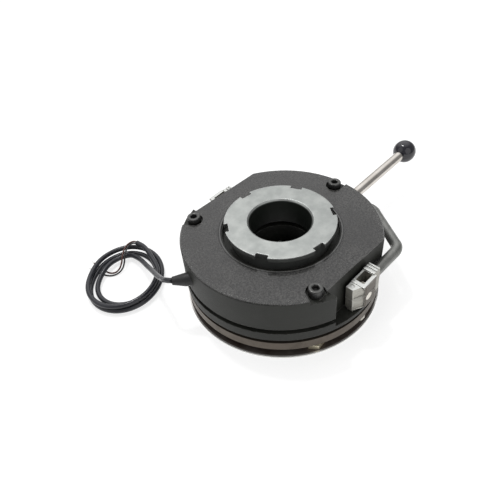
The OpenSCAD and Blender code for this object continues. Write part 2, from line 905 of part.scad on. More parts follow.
module release_springs() {
    color([0.6, 0.6, 0.6])
    both_sides()
        translate([pivot_x, bolt_y, 0])
            coil_spring(bolt_d + 2 * pass_gap + 2 * release_wire_d, release_wire_d,
                pocket_z + soft_gap, pivot_z - trunnion_d / 2 - soft_gap);
}

module lever_rod() {
    color([0.75, 0.73, 0.7])
    tilted()
        translate([0, 0, lever_z]) {
            translate([boss_end - lever_thread_len + cut, 0, 0])
                rod_x(lever_thread_d, lever_thread_len);
            translate([boss_end, 0, 0])
                rod_x(lever_d, lever_len);
            translate([ball_flat_x - cut, 0, 0])
                rod_x(lever_thread_d, lever_thread_len);
        }
}

module ball_knob() {
    color([0.08, 0.08, 0.09])
    tilted()
        translate([0, 0, lever_z])
            difference() {
                translate([ball_x, 0, 0])
                    rotate([0, 90, 0])
                        sphere(r = ball_r);
                translate([ball_flat_x - ball_r, -ball_r, -ball_r])
                    cube([ball_r, ball_d, ball_d]);
                translate([ball_flat_x - cut, 0, 0])
                    rod_x(lever_thread_d + 2 * fit_gap, lever_thread_len + cut);
            }
}

module cable_gland() {
    color([0.07, 0.07, 0.07])
    difference() {
        translate(gland_root)
            rotate([0, 0, gland_dir])
                rotate([0, 90, 0])
                    translate([0, 0, -gland_seat])
                        rotate_extrude()
                            polygon([[0, 0], [gland_root_d / 2, 0],
                                [gland_root_d / 2, gland_seat + gland_len / 4],
                                [gland_tip_d / 2, gland_seat + gland_len], [0, gland_seat + gland_len]]);
        cylinder(r = housing_r, h = ring_top);
    }
}

module cable_lead() {
    color([0.06, 0.06, 0.06])
    swept(lead_route, cable_r, lead_sides);
}

module cable_coil() {
    b = bundle_h / 4;
    color([0.06, 0.06, 0.06])
    translate(coil_centre)
        rotate_extrude()
            translate([coil_mean_r, 0])
                polygon([[b - bundle_w / 2, 0], [bundle_w / 2 - b, 0], [bundle_w / 2, b],
                    [bundle_w / 2, bundle_h - b], [bundle_w / 2 - b, bundle_h],
                    [b - bundle_w / 2, bundle_h], [-bundle_w / 2, bundle_h - b], [-bundle_w / 2, b]]);
}

module core_brown() {
    color([0.25, 0.13, 0.08])
    swept(brown_route, core_r, core_sides);
}

module core_black() {
    color([0.05, 0.05, 0.05])
    swept(black_route, core_r, core_sides);
}

magnet_housing();
coil_winding();
coil_resin();
adjuster_ring();
thrust_pins();
pressure_springs();
armature_plate();
friction_plate();
rotor_carrier();
upper_lining();
lower_lining();
splined_hub();
sleeve_bolts();
cap_screws();
release_yoke();
trunnion_pins();
release_bolts();
lock_nuts();
release_springs();
lever_rod();
ball_knob();
cable_gland();
cable_lead();
cable_coil();
core_brown();
core_black();
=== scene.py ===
"""Looks of a spring applied brake with a hand release lever: its cords, its finishes and its studio."""

import bpy
import numpy as np
from mathutils import Matrix


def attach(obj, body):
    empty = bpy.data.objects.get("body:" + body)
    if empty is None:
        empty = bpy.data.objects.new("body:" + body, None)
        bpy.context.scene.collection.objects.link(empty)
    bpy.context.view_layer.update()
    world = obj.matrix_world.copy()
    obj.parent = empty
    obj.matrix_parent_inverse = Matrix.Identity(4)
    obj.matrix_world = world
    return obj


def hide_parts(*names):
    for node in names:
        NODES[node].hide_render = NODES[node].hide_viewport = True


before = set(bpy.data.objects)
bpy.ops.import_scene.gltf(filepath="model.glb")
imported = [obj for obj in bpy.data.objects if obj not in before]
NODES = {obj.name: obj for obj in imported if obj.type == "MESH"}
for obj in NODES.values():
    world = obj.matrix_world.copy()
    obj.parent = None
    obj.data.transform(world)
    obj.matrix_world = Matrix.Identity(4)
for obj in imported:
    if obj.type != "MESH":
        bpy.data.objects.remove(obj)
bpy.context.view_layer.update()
MM = 0.001


def stand(name, data):
    """A new object in the scene."""
    obj = bpy.data.objects.new(name, data)
    bpy.context.scene.collection.objects.link(obj)
    return obj


def posed(right, up, back, place):
    """The matrix of a camera or lamp that stands at a place and looks along -back."""
    return Matrix([list(row) for row in zip(right, up, back, place)] + [[0, 0, 0, 1]])


# Camera
CAMERA_TURN, CAMERA_LIFT, CAMERA_ROLL = np.radians([-42.1, 43.16, -5.25])
CAMERA_PLACE = np.array([-0.26405, -0.24705, 0.38331])
LENS_MM, SENSOR_MM = 36.68, 36
NEAREST, FARTHEST = 0.01, 20


def camera_axes(turn, lift, roll):
    """Right, up and back of a camera that looks along -back, rolled about back by the given angle."""
    back = np.array([np.sin(turn) * np.cos(lift), -np.cos(turn) * np.cos(lift), np.sin(lift)])
    right = np.array([np.cos(turn), np.sin(turn), 0])
    up = np.cross(back, right)
    return np.cos(roll) * right + np.sin(roll) * up, np.cos(roll) * up - np.sin(roll) * right, back


camera = stand("camera", bpy.data.cameras.new("camera"))
camera.data.lens = LENS_MM
camera.data.sensor_width = SENSOR_MM
camera.data.clip_start = NEAREST
camera.data.clip_end = FARTHEST
camera.matrix_world = posed(*camera_axes(CAMERA_TURN, CAMERA_LIFT, CAMERA_ROLL), CAMERA_PLACE)
bpy.context.scene.camera = camera
bpy.context.scene.view_settings.view_transform = "Standard"


# Lines and tubes
CURVE_STEPS = 24


def walked(line):
    """How far along the line each of its points lies."""
    return np.concatenate([[0], np.cumsum(np.linalg.norm(np.diff(line, axis=0), axis=1))])


def smooth_line(knots, step, soften):
    """A curve through the knots (Catmull-Rom: the cubic whose slope at a knot is half the way between its
    neighbours), softened by a running mean of that many passes, with points a step apart."""
    knots = np.vstack([2 * knots[0] - knots[1], knots, 2 * knots[-1] - knots[-2]])
    t = np.linspace(0, 1, CURVE_STEPS, endpoint=False)[:, None, None]
    a, b, c, d = knots[:-3], knots[1:-2], knots[2:-1], knots[3:]
    run = 0.5 * (2 * b + (c - a) * t + (2 * a - 5 * b + 4 * c - d) * t**2 + (3 * b - a - 3 * c + d) * t**3)
    line = np.vstack([run.transpose(1, 0, 2).reshape(-1, 3), knots[-2:-1]])
    for _ in range(soften):
        line[1:-1] = (line[:-2] + 2 * line[1:-1] + line[2:]) / 4
    distance = walked(line)
    at = np.linspace(0, distance[-1], max(2, round(distance[-1] / step)) + 1)
    return np.stack([np.interp(at, distance, line[:, i]) for i in range(3)], 1)


def tube(name, line, radius, sides, body):
    """A round tube: point (i, j) is line[i] + radius (cos a across[i] + sin a over[i]), a being 2 pi j / sides.
    The two directions across the line are carried along it by turning each as little as the line turns.
    The tube's map holds the share of the way round and the way along in metres."""
    along = np.gradient(line, axis=0)
    along /= np.linalg.norm(along, axis=1)[:, None]
    side = np.cross(along[0], [0.0, 0.0, 1.0])
    across = [side / np.linalg.norm(side)]
    for way in along[1:]:
        side = across[-1] - way * np.dot(across[-1], way)
        across.append(side / np.linalg.norm(side))
    across = np.array(across)
    over = np.cross(along, across)
    angle = 2 * np.pi * np.arange(sides) / sides
    cosine, sine = np.cos(angle)[None, :, None], np.sin(angle)[None, :, None]
    grid = line[:, None] + radius * (cosine * across[:, None] + sine * over[:, None])
    count = len(line)
    i, j = np.meshgrid(np.arange(count - 1), np.arange(sides), indexing="ij")
    after = (j + 1) % sides
    quads = np.stack([i * sides + j, i * sides + after, (i + 1) * sides + after, (i + 1) * sides + j], -1)
    ends = [list(range(sides))[::-1], list(range((count - 1) * sides, count * sides))]
    faces = quads.reshape(-1, 4).tolist() + ends
    distance = walked(line)
    corners = (i, j), (i, j + 1), (i + 1, j + 1), (i + 1, j)
    wall_map = np.stack([np.stack([q / sides, distance[p]], -1) for p, q in corners], 2).reshape(-1, 2)
    end_map = np.zeros((2 * sides, 2))
    mesh = bpy.data.meshes.new(name)
    mesh.from_pydata(grid.reshape(-1, 3).tolist(), [], faces)
    mesh.uv_layers.new(name="along").data.foreach_set("uv", np.vstack([wall_map, end_map]).ravel())
    mesh.polygons.foreach_set("use_smooth", np.arange(len(faces)) < len(faces) - len(ends))
    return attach(stand(name, mesh), body)


# Coiled cable
CABLE_D, CABLE_STEP, CABLE_SOFTENING, CABLE_SIDES = 5.2 * MM, 1.4 * MM, 40, 20
COIL_CENTRE = np.array([-109.5, 123.5, 0]) * MM
COIL_FIRST, COIL_LAST, COIL_POINTS = np.radians(38), np.radians(1045), 72
LONG_WAY = np.radians(48)
LONGER, NARROWER = 1.05, 0.91
BUNDLE_R, BUNDLE_Z = 37.5 * MM, 6.5 * MM
BUNDLE_HALF_WIDE, BUNDLE_HALF_HIGH = 6.0 * MM, 3.85 * MM
SECTION_FIRST, SECTION_TURNS = np.radians(190), 4.1
PRESSED_IN, PRESSED_AT, PRESSED_WIDE = 4.2 * MM, 115, 42
LIFTED_UP, LIFTED_AT, LIFTED_WIDE = 1.6 * MM, 104, 22
LEAD_ROUTE = np.array([[-102, 41, 52], [-104, 46, 50.5], [-104, 52, 47], [-101.5, 60, 40.5], [-98, 74, 33],
                       [-94.5, 86, 27], [-91, 98.5, 21], [-88.5, 109, 17], [-86, 119, 13],
                       [-83.5, 131, 8.5]]) * MM
TAIL_ROUTE = np.array([[-74.4, 121, 12.2], [-71.8, 131, 12.8], [-70.6, 141, 12.9], [-71.8, 149.8, 12.9]]) * MM


def hump(turn, middle, width):
    """A smooth hill of height 1 round the coil: exp(-((turn - middle) / width)^2), both in degrees."""
    return np.exp(-((np.degrees(turn) % 360 - middle) / width) ** 2)


def coil_turns():
    """The cable's turns. At a turning angle the cable runs round the coil's centre on an ellipse whose long
    axis lies at LONG_WAY. Its place in the bundle's section goes once round an ellipse in about four turns, so
    that turns change places. The bundle is pressed in and lifted a little where the cores pass beneath it."""
    turn = np.linspace(COIL_FIRST, COIL_LAST, COIL_POINTS)
    place = SECTION_FIRST + (turn - COIL_FIRST) / SECTION_TURNS
    out = BUNDLE_R + BUNDLE_HALF_WIDE * np.cos(place) - PRESSED_IN * hump(turn, PRESSED_AT, PRESSED_WIDE)
    high = BUNDLE_Z + BUNDLE_HALF_HIGH * np.sin(place) + LIFTED_UP * hump(turn, LIFTED_AT, LIFTED_WIDE)
    far, wide = LONGER * out * np.cos(turn - LONG_WAY), NARROWER * out * np.sin(turn - LONG_WAY)
    cosine, sine = np.cos(LONG_WAY), np.sin(LONG_WAY)
    return np.stack([far * cosine - wide * sine, far * sine + wide * cosine, high], 1) + COIL_CENTRE


cable_line = smooth_line(np.vstack([LEAD_ROUTE, coil_turns(), TAIL_ROUTE]), CABLE_STEP, CABLE_SOFTENING)
cable = tube("cable_sheath", cable_line, CABLE_D / 2, CABLE_SIDES, "stator")
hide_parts("cable_lead", "cable_coil")


# Two cores
CORE_D, CORE_STEP, CORE_SOFTENING, CORE_SIDES = 1.8 * MM, 0.6 * MM, 6, 12
STRIPPED, OVERLAP, WIRES_R, WIRES_SIDES = 4 * MM, 3, 0.54 * MM, 10
BROWN_ROUTE = np.array([[-70.6, 147.6, 12.3], [-70.9, 150, 12.6], [-72.2, 153, 13.1], [-74.6, 154.8, 13.4],
                        [-78, 155.3, 13.4], [-82, 154.6, 13.4], [-86, 152.5, 13.4], [-91, 149, 13],
                        [-95.5, 145.5, 10.5], [-99.5, 142.5, 7], [-104, 140.5, 4], [-109, 140.5, 2],
                        [-113, 143.5, 1.2], [-115.2, 148.5, 1], [-116, 156, 1], [-117, 166, 1],
                        [-117, 176, 1]]) * MM
BLACK_ROUTE = np.array([[-72.6, 147.4, 12.3], [-73, 149.2, 12.6], [-74.4, 151.4, 13.1], [-77, 152.7, 13.4],
                        [-80.5, 152.4, 13.4], [-84.8, 150.3, 13.4], [-89.3, 147, 13], [-93.6, 143.6, 10.2],
                        [-97.6, 140.3, 6.8], [-102.3, 138, 3.8], [-108, 137.6, 1.8], [-114, 139.8, 1],
                        [-118.3, 144.5, 1], [-121, 151, 1], [-123, 160, 1], [-125, 169, 1]]) * MM


def core(name, node, route):
    """A thin core of the cable, with its end stripped to the tinned wires. Gives the core and the wires."""
    line = smooth_line(route, CORE_STEP, CORE_SOFTENING)
    cut = len(line) - round(STRIPPED / CORE_STEP)
    sleeve = tube(name, line[:cut], CORE_D / 2, CORE_SIDES, "stator")
    wires = tube(node + "_wires", line[cut - OVERLAP:], WIRES_R, WIRES_SIDES, "stator")
    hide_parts(node)
    return sleeve, wires


brown, brown_wires = core("brown_core", "core_brown", BROWN_ROUTE)
black, black_wires = core("black_core", "core_black", BLACK_ROUTE)


# Cap screws
BOLT_R, BOLT_TURN, BOLTS = 85 * MM, 1.6, 3
SEAT_Z, HEAD_H, HEAD_R, SHANK_R, SCREW_END = 66.5 * MM, 8 * MM, 6.5 * MM, 4 * MM, 1.5 * MM
SOCKET_AF, SOCKET_DEPTH, MOUTH_CLEAR = 6 * MM, 4.4 * MM, 0.25 * MM
FLUTES, FLUTE_POINTS, FLUTE_DEPTH = 56, 6, 0.13 * MM
CREASE = float(np.radians(30))


def cap_screw(turn):
    """Points and faces of a socket head screw at a turn in degrees about the brake's axis. The surface is a
    profile of (radius, height) pairs carried round the screw's axis by the angle a. In the socket the radius
    is that of a hexagon, (AF / 2) / cos(a mod 60 - 30). On the head's side it swells and falls as
    cos(FLUTES a), which is the knurl. The first and last rings are poles."""
    angle = 2 * np.pi * np.arange(FLUTES * FLUTE_POINTS) / (FLUTES * FLUTE_POINTS)
    axis = np.zeros_like(angle)
    flat = SOCKET_AF / 2 / np.cos(np.mod(angle, np.pi / 3) - np.pi / 6)
    mouth = axis + SOCKET_AF / 2 / np.cos(np.pi / 6) + MOUTH_CLEAR
    knurled = HEAD_R + FLUTE_DEPTH * (np.cos(FLUTES * angle) - 1)
    head, shank = axis + HEAD_R, axis + SHANK_R
    top = SEAT_Z + HEAD_H
    socket = [(axis, top - SOCKET_DEPTH - 0.8 * MM), (flat, top - SOCKET_DEPTH), (flat, top - 0.45 * MM),
              (mouth, top - 0.05 * MM), (mouth + 0.15 * MM, top)]
    rounded_top = [(head - 1.1 * MM, top), (head - 0.7 * MM, top - 0.12 * MM),
                   (head - 0.15 * MM, top - 0.75 * MM), (head - 0.15 * MM, top - 1.5 * MM)]
    side = [(knurled, top - 1.8 * MM), (knurled, SEAT_Z + 1.0 * MM), (head - 0.15 * MM, SEAT_Z + 0.7 * MM),
            (head - 0.4 * MM, SEAT_Z)]
    stem = [(shank, SEAT_Z), (shank, SCREW_END + 0.6 * MM), (shank - 0.6 * MM, SCREW_END), (axis, SCREW_END)]
    rows = socket + rounded_top + side + stem
    radius = np.array([row[0] for row in rows])
    height = np.repeat([[row[1]] for row in rows], len(angle), 1)
    grid = np.stack([radius * np.cos(angle) + BOLT_R, radius * np.sin(angle), height], -1)
    cosine, sine = np.cos(np.radians(turn)), np.sin(np.radians(turn))
    points = grid.reshape(-1, 3) @ np.array([[cosine, sine, 0], [-sine, cosine, 0], [0, 0, 1]])
    rings, around = len(rows), len(angle)
    i, j = np.meshgrid(np.arange(1, rings - 2), np.arange(around), indexing="ij")
    after = (j + 1) % around
    quads = np.stack([i * around + j, (i + 1) * around + j, (i + 1) * around + after, i * around + after], -1)
    j = np.arange(around)
    after = (j + 1) % around
    pole, before = (rings - 1) * around, (rings - 2) * around
    first = np.stack([j * 0, around + j, around + after], -1)
    last = np.stack([before + j, j * 0 + pole, before + after], -1)
    keep = np.r_[0, np.arange(around, pole + 1)]
    at = np.zeros(rings * around, int)
    at[keep] = np.arange(len(keep))
    return points[keep], at[quads.reshape(-1, 4)], at[np.vstack([first, last])]


def cap_screws():
    """The three screws as one mesh of three closed shells, with creases where the surface turns sharply."""
    points, faces, count = [], [], 0
    for i in range(BOLTS):
        spots, quads, tips = cap_screw(BOLT_TURN + 360 * i / BOLTS)
        points.append(spots)
        faces += (quads + count).tolist() + (tips + count).tolist()
        count += len(spots)
    mesh = bpy.data.meshes.new("cap_screw_set")
    mesh.from_pydata(np.vstack(points).tolist(), [], faces)
    mesh.polygons.foreach_set("use_smooth", np.full(len(mesh.polygons), True))
    mesh.set_sharp_from_angle(angle=CREASE)
    screws = stand("cap_screw_set", mesh)
    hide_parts("cap_screws")
    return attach(screws, "stator")


screws = cap_screws()


# Material kit
class Value:
    """A socket that adds, subtracts and multiplies like a number."""

    def __init__(self, finish, socket):
        self.finish, self.socket = finish, socket

    def maths(self, operation, *sockets):
        return self.finish.add("ShaderNodeMath", {"operation": operation}, sockets)

    def __add__(self, other):
        return self.maths("ADD", self, other)

    def __radd__(self, other):
        return self.maths("ADD", other, self)

    def __sub__(self, other):
        return self.maths("SUBTRACT", self, other)

    def __rsub__(self, other):
        return self.maths("SUBTRACT", other, self)

    def __mul__(self, other):
        return self.maths("MULTIPLY", self, other)

    def __rmul__(self, other):
        return self.maths("MULTIPLY", other, self)

    def larger(self, other):
        return self.maths("MAXIMUM", self, other)

    def root(self):
        return self.maths("SQRT", self)

    def size(self):
        return self.maths("ABSOLUTE", self)

    def ease(self, low, high, first=0.0, last=1.0):
        """Goes smoothly from first to last as this value goes from low to high."""
        return self.finish.add("ShaderNodeMapRange", {"interpolation_type": "SMOOTHSTEP"},
                               (self, low, high, first, last))


class Finish:
    """The nodes of a material or of the world, all made by one method."""

    def __init__(self, name, kind="materials", ending="ShaderNodeOutputMaterial"):
        self.owner = getattr(bpy.data, kind).new(name)
        self.owner.use_nodes = True
        self.tree = self.owner.node_tree
        self.tree.nodes.clear()
        self.ending = ending

    def add(self, kind, settings=None, sockets=(), output=0):
        """A node with its settings and then its input sockets, each a number, a colour or a link. Gives the
        output of that name or number, or a list of outputs for a tuple of names."""
        node = self.tree.nodes.new(kind)
        for key, value in (settings or {}).items():
            setattr(node, key, value)
        pairs = sockets.items() if isinstance(sockets, dict) else enumerate(sockets)
        for key, value in pairs:
            if isinstance(value, Value):
                self.tree.links.new(value.socket, node.inputs[key])
            else:
                node.inputs[key].default_value = value
        if isinstance(output, tuple):
            return [Value(self, node.outputs[name]) for name in output]
        return Value(self, node.outputs[output])

    def place(self):
        """Where a point lies in the part's own frame, in metres."""
        return self.add("ShaderNodeTexCoord", output="Object")

    def along(self):
        """A cord's own map: the share of the way round, and the way along in metres."""
        return self.add("ShaderNodeUVMap", {"uv_map": "along"})

    def parts(self, vector):
        return self.add("ShaderNodeSeparateXYZ", None, (vector,), output=("X", "Y", "Z"))

    def vector(self, x, y, z):
        return self.add("ShaderNodeCombineXYZ", None, (x, y, z))

    def stretch(self, vector, scale):
        """The vector with each of its parts multiplied by its own scale."""
        return self.add("ShaderNodeVectorMath", {"operation": "MULTIPLY"}, (vector, scale))

    def dot(self, first, second):
        return self.add("ShaderNodeVectorMath", {"operation": "DOT_PRODUCT"}, (first, second), output="Value")

    def noise(self, vector, scale, detail=3.0, rough=0.55, distort=0.0):
        return self.add("ShaderNodeTexNoise", None, {"Vector": vector, "Scale": scale, "Detail": detail,
                                                     "Roughness": rough, "Distortion": distort})

    def cells(self, vector, scale):
        """How far a point lies from the nearest of many scattered middles."""
        return self.add("ShaderNodeTexVoronoi", None, {"Vector": vector, "Scale": scale}, output="Distance")

    def blend(self, share, first, last):
        """The first colour where the share is 0, the last where it is 1."""
        return self.add("ShaderNodeMix", {"data_type": "RGBA"},
                        {0: share, 6: colour(first), 7: colour(last)}, output=2)

    def bump(self, height, distance, strength, rounded=None):
        """The normal of a surface raised by the height, over a rounded normal where one is given."""
        below = {} if rounded is None else {"Normal": rounded}
        return self.add("ShaderNodeBump", None,
                        {"Strength": strength, "Distance": distance, "Height": height, **below})

    def edge(self, radius):
        """How near a sharp edge a point is, from 0 to 1, and the normal rounded over that radius. The rounded
        normal leaves the true one only within the radius of an edge."""
        rounded = self.add("ShaderNodeBevel", {"samples": 6}, (radius,))
        true = self.add("ShaderNodeNewGeometry", output="Normal")
        return self.dot(rounded, true).ease(0.97, 0.80), rounded

    def hollow(self, reach):
        """How deep a point lies in a corner, from 0 in the open to 1, within the given reach."""
        return 1 - self.add("ShaderNodeAmbientOcclusion", {"samples": 6}, {"Distance": reach}, output="AO")

    def facing(self, axis, way):
        """1 on faces that look along the axis (0, 1 or 2 for x, y or z) the given way (1 or -1), else 0."""
        normal = self.add("ShaderNodeNewGeometry", output="Normal")
        return (self.parts(normal)[axis] * way).ease(0.70, 0.92)

    def surface(self, **sockets):
        """Ends the material with the main surface shader, its sockets named with _ for a space."""
        return self.show(self.add("ShaderNodeBsdfPrincipled", None, {
            key.replace("_", " "): colour(value) for key, value in sockets.items()}))

    def show(self, shader):
        """Links the shader to the output and gives the finished material or world."""
        self.add(self.ending, None, {"Surface": shader}, output=())
        return self.owner


def colour(value):
    """A colour with its alpha of 1. Links and numbers stay as they are."""
    return (*value, 1) if isinstance(value, tuple) else value


def radius_about_axis(x, y):
    """How far a point lies from the brake's axis."""
    return (x * x + y * y).root()


def give(material, *pieces):
    """Gives the material to pieces, each an object or the name of a CAD node."""
    for piece in pieces:
        slots = NODES.get(piece, piece).data.materials
        slots.clear()
        slots.append(material)


# Places on the brake that the finishes read
HOUSING_TOP = 68.9 * MM, 69.8 * MM
HOUSING_RIM = 95.0 * MM, 94.4 * MM
OUTER_BAND = 86.0 * MM, 93.0 * MM
RECESS_LEDGE_R, RECESS_GROOVE_R = 57.3 * MM, 58.3 * MM
BELOW_RING_TOP = 79.7 * MM, 79.1 * MM
RING_BORE = 29.9 * MM, 29.3 * MM
RING_SIDE = 47.0 * MM, 47.6 * MM
# Inside this radius the friction plate is painted dark as shade.
SHADED_INSIDE_RIM = 95.6 * MM, 94.6 * MM
BLOCKS_TO_ARMS = 26 * MM, 34 * MM
BLOCK_FACE = 95.0 * MM, 96.0 * MM
BLOCK_END = -4.0 * MM, -3.0 * MM
BLOCK_TOP = 56 * MM, 57 * MM
BALL_Z = 44.5 * MM


# Finishes
def painted_casting():
    """Black paint over cast iron: glossy orange peel on the face left as cast, that face painted lighter than
    the round wall and lighter on the peel's bumps than in its pits as painted sheen and shade, grit painted
    bright as glints, more towards the rim, fine turning lines on the round wall, a turned groove round the
    ring's recess with a painted highlight line on its ledge, painted shade in the corners, and paint rubbed
    thin along the edges, brightened partly as a painted edge highlight."""
    wall_dark, wall_light = (0.017, 0.018, 0.015), (0.026, 0.027, 0.023)
    lit_face_dark, lit_face_light, pit = (0.030, 0.0285, 0.027), (0.056, 0.054, 0.051), (0.0055, 0.0053, 0.005)
    dust_and_shade, painted_grit_glint, painted_ledge_highlight = (0.20, 0.195, 0.185), (0.36, 0.36, 0.35), (0.20, 0.20, 0.195)
    groove_dark, worn_paint_and_highlight, painted_corner_shade = (0.006, 0.006, 0.006), (0.22, 0.215, 0.205), (0.008, 0.008, 0.007)
    f = Finish("painted_casting")
    at = f.place()
    x, y, z = f.parts(at)
    r = radius_about_axis(x, y)
    top = z.ease(*HOUSING_TOP) * r.ease(*HOUSING_RIM)
    rim = top * r.ease(*OUTER_BAND)
    peel = f.noise(at, 640.0, detail=2.5, rough=0.6, distort=0.3)
    grit = f.noise(at, 1150.0, detail=2.0, rough=0.5).ease(0.54, 0.72)
    fine = f.noise(at, 2600.0, detail=2.0)
    lines = f.noise(f.vector(r * 300.0, 0.0, z * 2600.0), 1.0, detail=2.0)
    blotch = f.noise(at, 24.0)
    groove = top * (r - RECESS_GROOVE_R).size().ease(0.55 * MM, 0.15 * MM)
    ledge = top * (r - RECESS_LEDGE_R).size().ease(0.6 * MM, 0.3 * MM)
    height = top * (peel * 0.9 + grit * (0.5 + rim * 0.7))
    height = height + (1 - top) * (fine * 0.12 + lines * 0.10 + peel * 0.12)
    wall = f.blend(blotch.ease(0.35, 0.68), wall_dark, wall_light)
    lit_face = f.blend(blotch.ease(0.35, 0.68), lit_face_dark, lit_face_light)
    # Painted sheen and shade: the top face lighter than the wall, lighter on the peel's bumps, dark in its
    # pits.
    tone = f.blend(top, wall, f.blend(peel.ease(0.44, 0.58), pit, lit_face))
    tone = f.blend(f.noise(at, 95.0, detail=5.0, rough=0.7).ease(0.56, 0.78) * 0.07, tone, dust_and_shade)
    # Painted glints: grit specks on the top face painted bright, more of them towards the rim.
    tone = f.blend(top * grit * (0.12 + rim * 0.60), tone, painted_grit_glint)
    # Painted highlight: a bright line on the recess ledge, beside the dark turned groove.
    tone = f.blend(ledge * 0.35, f.blend(groove, tone, groove_dark), painted_ledge_highlight)
    near_edge, rounded = f.edge(0.9 * MM)
    # Paint rubbed thin along the edges, painted bright partly as wear and partly as an edge highlight.
    edge_wear_and_highlight_mask = near_edge * f.noise(at, 260.0, detail=4.0, rough=0.7).ease(0.36, 0.60)
    tone = f.blend(edge_wear_and_highlight_mask * 0.75, tone, worn_paint_and_highlight)
    # Painted shade: darker where the occlusion mask finds a corner.
    tone = f.blend(f.hollow(5 * MM).ease(0.30, 0.85) * 0.8, tone, painted_corner_shade)
    return f.surface(Base_Color=tone, Roughness=0.42 + fine * 0.10 + blotch * 0.06 - top * 0.14,
                     Coat_Weight=top * 0.75, Coat_Roughness=0.13, Specular_IOR_Level=0.28,
                     Normal=f.bump(height - groove * 1.2, 0.50 * MM, 1.0, rounded))


def turned_ring():
    """Bright zinc plate on a ring faced on a lathe, with rings round the axis, a slow cloudiness, small nicks
    and bevels painted near white as highlights. The bore and the side are painted dark as shade."""
    plate_dark, plate_light, nick = (0.32, 0.335, 0.325), (0.43, 0.445, 0.43), (0.25, 0.25, 0.25)
    painted_ring_side_shade, painted_bore_shade, painted_bevel_highlight = (0.06, 0.063, 0.06), (0.018, 0.021, 0.018), (0.95, 0.96, 0.95)
    f = Finish("turned_ring")
    at = f.place()
    x, y, z = f.parts(at)
    r = radius_about_axis(x, y)
    rings = f.noise(f.vector(r * 5200.0, z * 5200.0, 0.0), 1.0)
    cloud = f.noise(at, 70.0, detail=4.0, rough=0.6)
    nicks = f.noise(f.stretch(at, (1.0, 3.2, 1.0)), 420.0).ease(0.60, 0.75)
    near_edge, rounded = f.edge(1.3 * MM)
    tone = f.blend(cloud.ease(0.3, 0.7), plate_dark, plate_light)
    tone = f.blend(nicks * 0.35, tone, nick)
    below = z.ease(*BELOW_RING_TOP)
    bore = r.ease(*RING_BORE) * below
    side = r.ease(*RING_SIDE) * below
    bevel = near_edge * (1 - side) * (1 - bore)
    # Painted highlight on the bevels, and painted shade on the side.
    tone = f.blend(bevel, f.blend(side * 0.6, tone, painted_ring_side_shade), painted_bevel_highlight)
    # Painted shade: the bore painted near black.
    tone = f.blend(bore, tone, painted_bore_shade)
    return f.surface(Base_Color=tone, Metallic=0.92 - bore * 0.75 - side * 0.2 - bevel * 0.75,
                     Roughness=0.28 + cloud * 0.14 + rings * 0.05,
                     Normal=f.bump(rings * 0.5 + cloud * 0.5, 0.03 * MM, 0.6, rounded))


def ground_steel(name, tone, stain, rough, metal, stain_share):
    """Bare metal with lathe or grinding lines across z, darker stains and edges rubbed bright."""
    bright = tuple(min(1.0, c * 1.5 + 0.05) for c in tone)
    f = Finish(name)
    at = f.place()
    x, y, z = f.parts(at)
    r = radius_about_axis(x, y)
    lines = f.noise(f.vector(r * 3600.0, 0.0, z * 3600.0), 1.0)
    stains = f.noise(at, 60.0, detail=5.0, rough=0.65, distort=0.4)
    specks = f.noise(at, 900.0, detail=2.0).ease(0.66, 0.74)
    near_edge, rounded = f.edge(0.35 * MM)
    shade = f.blend(stains.ease(0.42, 0.72) * stain_share, tone, stain)
    shade = f.blend(near_edge * 0.6, f.blend(specks * 0.4, shade, stain), bright)
    return f.surface(Base_Color=shade, Metallic=metal, Roughness=rough + stains * 0.14 + lines * 0.05,
                     Normal=f.bump(lines * 0.6 + specks * 0.4, 0.025 * MM, 0.7, rounded))


def stained_plate():
    """Thin stainless plate: a bright sheared edge, its near-white tone partly a painted reflection of the
    floor, and faces painted dark brown inside the rim as the armature plate's shade and reflection.
    """
    steel_dark, steel_light, painted_brown_shade = (0.80, 0.785, 0.76), (0.90, 0.885, 0.865), (0.050, 0.033, 0.025)
    f = Finish("plate_stainless")
    at = f.place()
    x, y, z = f.parts(at)
    r = radius_about_axis(x, y)
    lines = f.noise(f.vector(r * 2400.0, 0.0, z * 2400.0), 1.0)
    cloud = f.noise(at, 55.0, detail=4.0, rough=0.6)
    # Painted shade: dark brown inside the rim, as the armature plate's shade and its reflection.
    dust_and_shade = r.ease(*SHADED_INSIDE_RIM) * (0.80 + cloud * 0.3)
    # The near-white steel tone is partly a painted reflection of the white floor on the edge.
    tone = f.blend(cloud.ease(0.3, 0.7), steel_dark, steel_light)
    return f.surface(Base_Color=f.blend(dust_and_shade, tone, painted_brown_shade), Metallic=0.6 - dust_and_shade * 0.2,
                     Roughness=0.14 + dust_and_shade * 0.25 + lines * 0.06, Normal=f.bump(lines, 0.02 * MM, 0.6))


